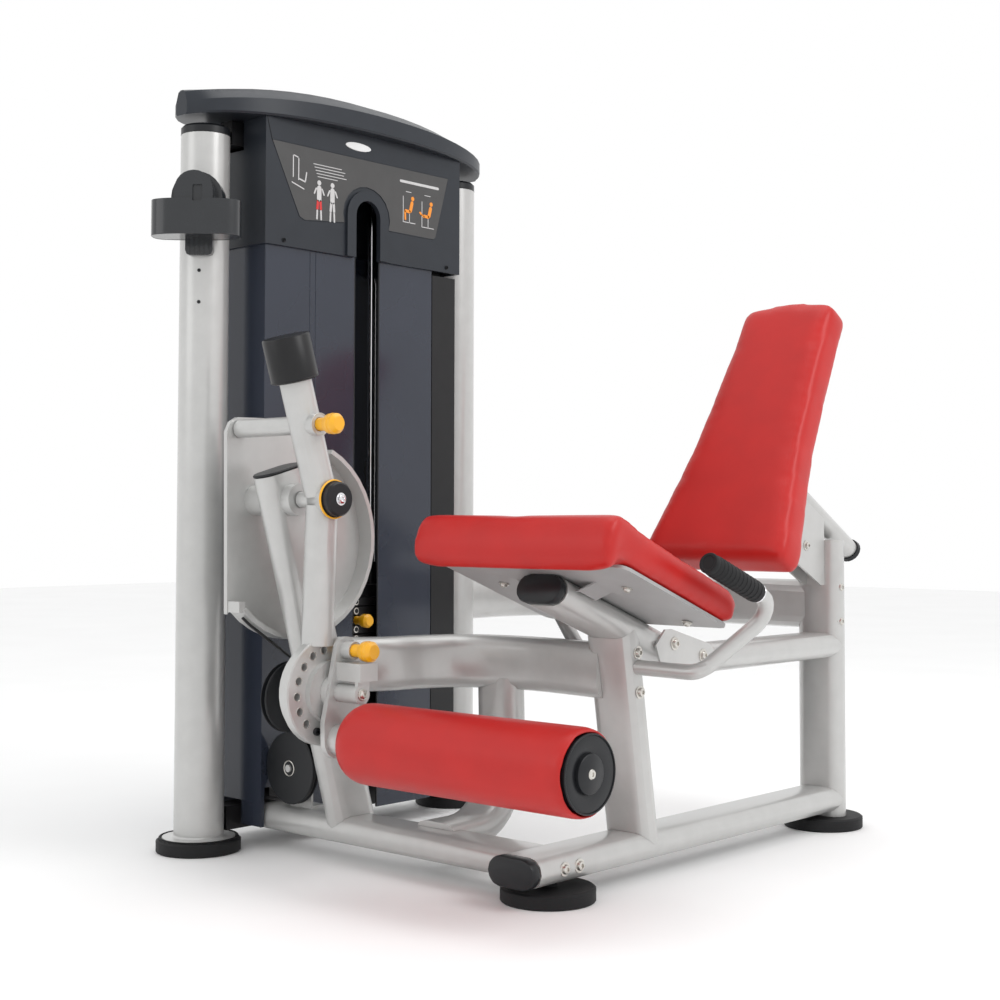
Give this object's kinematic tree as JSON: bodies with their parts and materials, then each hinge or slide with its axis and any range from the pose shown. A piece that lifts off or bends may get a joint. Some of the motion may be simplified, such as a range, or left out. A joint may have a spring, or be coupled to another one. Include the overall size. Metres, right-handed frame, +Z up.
{
  "type": "leg extension machine",
  "caption": "Seated leg extension machine: shielded weight-stack tower, tilted red seat and back, swinging leg arm with padded shin roller.",
  "frame": {"origin": "on the floor under the middle of the machine's bounding box", "axes": "+Z up, +X from the weight tower towards the seat, +Y from the front of the machine (leg arm) towards its rear (backrest)"},
  "size_m": [1.2294, 1.4013, 1.5948],
  "materials": {
    "silver_paint": "fine silver powder coat, satin",
    "black_rubber": "matte",
    "black_plastic": "satin",
    "dark_cover": "fine grain, satin",
    "black_steel": "black powder coat, satin",
    "chrome_rod": "polished",
    "smoked_panel": "smooth, gloss",
    "red_vinyl": "smooth vinyl, soft sheen",
    "yellow_plastic": "gloss"
  },
  "bodies": {
    "frame": {"front_upright": "silver_paint", "rear_upright": "silver_paint", "front_upright_cap": "black_plastic", "rear_upright_cap": "black_plastic", "front_upright_foot": "black_rubber", "rear_upright_foot": "black_rubber", "tower_frame": "black_steel", "front_guide_rod": "chrome_rod", "rear_guide_rod": "chrome_rod", "resting_plates": "black_steel", "header_cover": "dark_cover", "roof_cap": "dark_cover", "front_shield": "smoked_panel", "rear_shield": "smoked_panel", "back_shield": "smoked_panel", "cup_holder": "dark_cover", "rear_seat_post": "silver_paint", "base_side_tube": "silver_paint", "base_cross_tube": "silver_paint", "base_side_cap": "black_plastic", "seat_front_foot": "black_rubber", "seat_rear_foot": "black_rubber", "arm_support_post": "silver_paint", "support_post_cap": "black_plastic", "seat_rail": "silver_paint", "rail_splice": "silver_paint", "seat_rail_cap": "black_plastic", "side_rail": "silver_paint", "front_seat_post": "silver_paint", "front_cross_tube": "silver_paint", "rear_cross_tube": "silver_paint", "j_brace": "silver_paint", "seat_plate": "silver_paint", "seat_pad": "red_vinyl", "back_pad": "red_vinyl", "back_tube": "silver_paint", "back_tube_cap": "black_plastic", "back_bracket": "silver_paint", "right_handle": "silver_paint", "left_handle": "silver_paint", "right_grip": "black_rubber", "left_grip": "black_rubber", "cable": "black_plastic"},
    "cam": {"cam": "silver_paint"},
    "arm": {"movement_arm": "silver_paint", "counterweight": "black_steel", "pivot_cap": "black_plastic"},
    "start_pin_body": {"start_pin": "yellow_plastic"},
    "bracket": {"roller_bracket": "silver_paint"},
    "adjust_pin_body": {"adjust_pin": "yellow_plastic"},
    "roller": {"shin_roller": "red_vinyl", "roller_end_cap": "black_plastic"},
    "stack": {"head_plate": "black_steel", "lifted_plates": "black_steel"},
    "selector": {"selector_pin": "yellow_plastic"},
    "cam_pulley_body": {"cam_pulley": "black_plastic"},
    "floor_pulley_body": {"floor_pulley": "black_plastic"},
    "tower_pulley_body": {"tower_pulley": "black_plastic"},
    "top_front_pulley_body": {"top_pulley_front": "black_plastic"},
    "top_rear_pulley_body": {"top_pulley_rear": "black_plastic"}
  },
  "joints": [
    {"name": "leg_lift", "type": "hinge", "parent": "frame", "child": "cam", "pos_m": [-0.2817, -0.5666, 0.7134], "axis": [-1, 0, 0], "range_deg": [0, 90]},
    {"name": "arm_start_position", "type": "hinge", "parent": "cam", "child": "arm", "pos_m": [-0.2817, -0.5666, 0.7134], "axis": [-1, 0, 0], "range_deg": [0, 30]},
    {"name": "start_pin_slide", "type": "slide", "parent": "arm", "child": "start_pin_body", "axis": [1, 0, 0], "range_m": [-0.0095, 0.008]},
    {"name": "roller_position", "type": "hinge", "parent": "arm", "child": "bracket", "pos_m": [-0.0482, -0.5544, 0.3545], "axis": [1, 0, 0], "range_deg": [0, 145.6]},
    {"name": "adjust_pin_slide", "type": "slide", "parent": "bracket", "child": "adjust_pin_body", "axis": [1, 0, 0], "range_m": [-0.0115, 0.008]},
    {"name": "roller_spin", "type": "hinge", "parent": "bracket", "child": "roller", "pos_m": [0.0093, -0.5584, 0.268], "axis": [1, 0, 0], "continuous": true},
    {"name": "stack_lift", "type": "slide", "parent": "frame", "child": "stack", "axis": [0, 0, 1], "range_m": [0, 0.32], "deforming": ["cable"]},
    {"name": "selector_pin_slide", "type": "slide", "parent": "stack", "child": "selector", "axis": [1, 0, 0], "range_m": [0, 0.09]},
    {"name": "cam_pulley_spin", "type": "hinge", "parent": "frame", "child": "cam_pulley_body", "pos_m": [-0.2497, -0.4954, 0.326], "axis": [1, 0, 0], "range_deg": [0, 280]},
    {"name": "floor_pulley_spin", "type": "hinge", "parent": "frame", "child": "floor_pulley_body", "pos_m": [-0.3177, -0.4304, 0.172], "axis": [0, -1, 0], "range_deg": [0, 268]},
    {"name": "tower_pulley_spin", "type": "hinge", "parent": "frame", "child": "tower_pulley_body", "pos_m": [-0.4847, -0.4304, 0.1573], "axis": [0, -1, 0], "range_deg": [0, 341]},
    {"name": "top_front_pulley_spin", "type": "hinge", "parent": "frame", "child": "top_front_pulley_body", "pos_m": [-0.5276, -0.3781, 1.4], "axis": [0.9807, -0.1956, 0], "range_deg": [0, 341]},
    {"name": "top_rear_pulley_spin", "type": "hinge", "parent": "frame", "child": "top_rear_pulley_body", "pos_m": [-0.4951, -0.2154, 1.4], "axis": [0.9807, -0.1956, 0], "range_deg": [0, 341]}
  ],
  "couplings": [
    {"joint": "stack_lift", "follows": "leg_lift", "m_per_rad": 0.2},
    {"joint": "cam_pulley_spin", "follows": "leg_lift", "ratio": 3.0769},
    {"joint": "floor_pulley_spin", "follows": "leg_lift", "ratio": 2.9412},
    {"joint": "tower_pulley_spin", "follows": "leg_lift", "ratio": 3.7523},
    {"joint": "top_front_pulley_spin", "follows": "leg_lift", "ratio": 3.7523},
    {"joint": "top_rear_pulley_spin", "follows": "leg_lift", "ratio": 3.7523}
  ]
}
